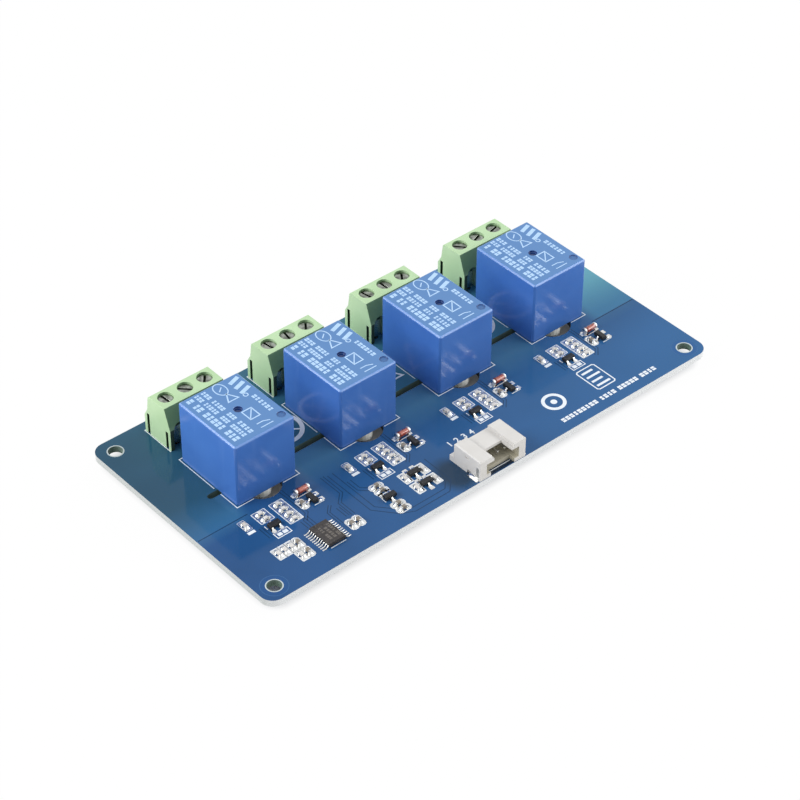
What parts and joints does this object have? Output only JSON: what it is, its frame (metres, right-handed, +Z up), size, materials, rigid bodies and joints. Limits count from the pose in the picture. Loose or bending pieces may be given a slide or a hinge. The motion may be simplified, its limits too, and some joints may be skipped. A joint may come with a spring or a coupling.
{
  "type": "relay module board",
  "caption": "Printed board with a row of closed relays, screw terminals with rising clamps behind them, driver parts in front and a cable socket at the front edge.",
  "frame": {"origin": "centre of the rectangle of four mounting holes, on the underside of the board", "axes": "+X along the row of relays, to the right seen from the socket edge; +Y from the socket edge to the screw terminals; +Z up, out of the component side"},
  "size_m": [0.123, 0.0606, 0.019],
  "materials": {
    "solder_mask": "gloss",
    "case_blue": "satin",
    "case_base": "matte",
    "light_green_plastic": "satin",
    "white_nylon": "satin",
    "coil_former": "matte",
    "copper_wire": "gloss",
    "soft_iron": "satin",
    "zinc_steel": "satin",
    "tinned_copper": "satin",
    "contact_bronze": "satin",
    "moulded_epoxy": "matte",
    "chip_resistor": "satin",
    "chip_ceramic_brown": "matte",
    "clear_indicator": "gloss",
    "diode_glass": "gloss"
  },
  "bodies": {
    "module": {"printed_board": "solder_mask", "relay_cover_1": "case_blue", "relay_cover_2": "case_blue", "relay_cover_3": "case_blue", "relay_cover_4": "case_blue", "relay_bases": "case_base", "relay_yokes": "soft_iron", "relay_cores": "soft_iron", "relay_bobbins": "coil_former", "relay_windings": "copper_wire", "relay_coil_pins": "tinned_copper", "relay_return_leaves": "contact_bronze", "relay_fixed_contacts": "contact_bronze", "terminal_housing_1": "light_green_plastic", "terminal_housing_2": "light_green_plastic", "terminal_housing_3": "light_green_plastic", "terminal_housing_4": "light_green_plastic", "terminal_contacts": "tinned_copper", "controller_chip": "moulded_epoxy", "controller_leads": "tinned_copper", "transistors": "moulded_epoxy", "transistor_leads": "tinned_copper", "diode_glasses": "diode_glass", "diode_end_caps": "tinned_copper", "resistors": "chip_resistor", "capacitors": "chip_ceramic_brown", "indicators": "clear_indicator", "socket_housing": "white_nylon", "socket_pins": "tinned_copper", "socket_tabs": "tinned_copper"},
    "armature_1": {"relay_armature_1": "soft_iron"},
    "armature_2": {"relay_armature_2": "soft_iron"},
    "armature_3": {"relay_armature_3": "soft_iron"},
    "armature_4": {"relay_armature_4": "soft_iron"},
    "screw_1_1": {"clamp_screw_1_1": "zinc_steel"},
    "clamp_1_1": {"clamp_cage_1_1": "zinc_steel"},
    "screw_1_2": {"clamp_screw_1_2": "zinc_steel"},
    "clamp_1_2": {"clamp_cage_1_2": "zinc_steel"},
    "screw_1_3": {"clamp_screw_1_3": "zinc_steel"},
    "clamp_1_3": {"clamp_cage_1_3": "zinc_steel"},
    "screw_2_1": {"clamp_screw_2_1": "zinc_steel"},
    "clamp_2_1": {"clamp_cage_2_1": "zinc_steel"},
    "screw_2_2": {"clamp_screw_2_2": "zinc_steel"},
    "clamp_2_2": {"clamp_cage_2_2": "zinc_steel"},
    "screw_2_3": {"clamp_screw_2_3": "zinc_steel"},
    "clamp_2_3": {"clamp_cage_2_3": "zinc_steel"},
    "screw_3_1": {"clamp_screw_3_1": "zinc_steel"},
    "clamp_3_1": {"clamp_cage_3_1": "zinc_steel"},
    "screw_3_2": {"clamp_screw_3_2": "zinc_steel"},
    "clamp_3_2": {"clamp_cage_3_2": "zinc_steel"},
    "screw_3_3": {"clamp_screw_3_3": "zinc_steel"},
    "clamp_3_3": {"clamp_cage_3_3": "zinc_steel"},
    "screw_4_1": {"clamp_screw_4_1": "zinc_steel"},
    "clamp_4_1": {"clamp_cage_4_1": "zinc_steel"},
    "screw_4_2": {"clamp_screw_4_2": "zinc_steel"},
    "clamp_4_2": {"clamp_cage_4_2": "zinc_steel"},
    "screw_4_3": {"clamp_screw_4_3": "zinc_steel"},
    "clamp_4_3": {"clamp_cage_4_3": "zinc_steel"}
  },
  "joints": [
    {"name": "armature_1_swing", "type": "hinge", "parent": "module", "child": "armature_1", "pos_m": [-0.04099, -0.0021, 0.01285], "axis": [-1, 0, 0], "range_deg": [0, 3.5], "stiffness_Nm_per_rad": 0.02, "springref_deg": -5.73},
    {"name": "armature_2_swing", "type": "hinge", "parent": "module", "child": "armature_2", "pos_m": [-0.01367, -0.0021, 0.01285], "axis": [-1, 0, 0], "range_deg": [0, 3.5], "stiffness_Nm_per_rad": 0.02, "springref_deg": -5.73},
    {"name": "armature_3_swing", "type": "hinge", "parent": "module", "child": "armature_3", "pos_m": [0.01367, -0.0021, 0.01285], "axis": [-1, 0, 0], "range_deg": [0, 3.5], "stiffness_Nm_per_rad": 0.02, "springref_deg": -5.73},
    {"name": "armature_4_swing", "type": "hinge", "parent": "module", "child": "armature_4", "pos_m": [0.04099, -0.0021, 0.01285], "axis": [-1, 0, 0], "range_deg": [0, 3.5], "stiffness_Nm_per_rad": 0.02, "springref_deg": -5.73},
    {"name": "clamp_1_1_rise", "type": "slide", "parent": "module", "child": "clamp_1_1", "axis": [0, 0, 1], "range_m": [0, 0.0022]},
    {"name": "screw_1_1_turn", "type": "hinge", "parent": "module", "child": "screw_1_1", "pos_m": [-0.04607, 0.02345, 0.0115], "axis": [0, 0, -1], "range_deg": [0, 1762]},
    {"name": "clamp_1_2_rise", "type": "slide", "parent": "module", "child": "clamp_1_2", "axis": [0, 0, 1], "range_m": [0, 0.0022]},
    {"name": "screw_1_2_turn", "type": "hinge", "parent": "module", "child": "screw_1_2", "pos_m": [-0.04099, 0.02345, 0.0115], "axis": [0, 0, -1], "range_deg": [0, 1762]},
    {"name": "clamp_1_3_rise", "type": "slide", "parent": "module", "child": "clamp_1_3", "axis": [0, 0, 1], "range_m": [0, 0.0022]},
    {"name": "screw_1_3_turn", "type": "hinge", "parent": "module", "child": "screw_1_3", "pos_m": [-0.03592, 0.02345, 0.0115], "axis": [0, 0, -1], "range_deg": [0, 1762]},
    {"name": "clamp_2_1_rise", "type": "slide", "parent": "module", "child": "clamp_2_1", "axis": [0, 0, 1], "range_m": [0, 0.0022]},
    {"name": "screw_2_1_turn", "type": "hinge", "parent": "module", "child": "screw_2_1", "pos_m": [-0.01875, 0.02345, 0.0115], "axis": [0, 0, -1], "range_deg": [0, 1762]},
    {"name": "clamp_2_2_rise", "type": "slide", "parent": "module", "child": "clamp_2_2", "axis": [0, 0, 1], "range_m": [0, 0.0022]},
    {"name": "screw_2_2_turn", "type": "hinge", "parent": "module", "child": "screw_2_2", "pos_m": [-0.01367, 0.02345, 0.0115], "axis": [0, 0, -1], "range_deg": [0, 1762]},
    {"name": "clamp_2_3_rise", "type": "slide", "parent": "module", "child": "clamp_2_3", "axis": [0, 0, 1], "range_m": [0, 0.0022]},
    {"name": "screw_2_3_turn", "type": "hinge", "parent": "module", "child": "screw_2_3", "pos_m": [-0.00859, 0.02345, 0.0115], "axis": [0, 0, -1], "range_deg": [0, 1762]},
    {"name": "clamp_3_1_rise", "type": "slide", "parent": "module", "child": "clamp_3_1", "axis": [0, 0, 1], "range_m": [0, 0.0022]},
    {"name": "screw_3_1_turn", "type": "hinge", "parent": "module", "child": "screw_3_1", "pos_m": [0.00859, 0.02345, 0.0115], "axis": [0, 0, -1], "range_deg": [0, 1762]},
    {"name": "clamp_3_2_rise", "type": "slide", "parent": "module", "child": "clamp_3_2", "axis": [0, 0, 1], "range_m": [0, 0.0022]},
    {"name": "screw_3_2_turn", "type": "hinge", "parent": "module", "child": "screw_3_2", "pos_m": [0.01367, 0.02345, 0.0115], "axis": [0, 0, -1], "range_deg": [0, 1762]},
    {"name": "clamp_3_3_rise", "type": "slide", "parent": "module", "child": "clamp_3_3", "axis": [0, 0, 1], "range_m": [0, 0.0022]},
    {"name": "screw_3_3_turn", "type": "hinge", "parent": "module", "child": "screw_3_3", "pos_m": [0.01875, 0.02345, 0.0115], "axis": [0, 0, -1], "range_deg": [0, 1762]},
    {"name": "clamp_4_1_rise", "type": "slide", "parent": "module", "child": "clamp_4_1", "axis": [0, 0, 1], "range_m": [0, 0.0022]},
    {"name": "screw_4_1_turn", "type": "hinge", "parent": "module", "child": "screw_4_1", "pos_m": [0.03592, 0.02345, 0.0115], "axis": [0, 0, -1], "range_deg": [0, 1762]},
    {"name": "clamp_4_2_rise", "type": "slide", "parent": "module", "child": "clamp_4_2", "axis": [0, 0, 1], "range_m": [0, 0.0022]},
    {"name": "screw_4_2_turn", "type": "hinge", "parent": "module", "child": "screw_4_2", "pos_m": [0.04099, 0.02345, 0.0115], "axis": [0, 0, -1], "range_deg": [0, 1762]},
    {"name": "clamp_4_3_rise", "type": "slide", "parent": "module", "child": "clamp_4_3", "axis": [0, 0, 1], "range_m": [0, 0.0022]},
    {"name": "screw_4_3_turn", "type": "hinge", "parent": "module", "child": "screw_4_3", "pos_m": [0.04607, 0.02345, 0.0115], "axis": [0, 0, -1], "range_deg": [0, 1762]}
  ],
  "couplings": [
    {"joint": "screw_1_1_turn", "follows": "clamp_1_1_rise", "rad_per_m": 13963},
    {"joint": "screw_1_2_turn", "follows": "clamp_1_2_rise", "rad_per_m": 13963},
    {"joint": "screw_1_3_turn", "follows": "clamp_1_3_rise", "rad_per_m": 13963},
    {"joint": "screw_2_1_turn", "follows": "clamp_2_1_rise", "rad_per_m": 13963},
    {"joint": "screw_2_2_turn", "follows": "clamp_2_2_rise", "rad_per_m": 13963},
    {"joint": "screw_2_3_turn", "follows": "clamp_2_3_rise", "rad_per_m": 13963},
    {"joint": "screw_3_1_turn", "follows": "clamp_3_1_rise", "rad_per_m": 13963},
    {"joint": "screw_3_2_turn", "follows": "clamp_3_2_rise", "rad_per_m": 13963},
    {"joint": "screw_3_3_turn", "follows": "clamp_3_3_rise", "rad_per_m": 13963},
    {"joint": "screw_4_1_turn", "follows": "clamp_4_1_rise", "rad_per_m": 13963},
    {"joint": "screw_4_2_turn", "follows": "clamp_4_2_rise", "rad_per_m": 13963},
    {"joint": "screw_4_3_turn", "follows": "clamp_4_3_rise", "rad_per_m": 13963}
  ]
}
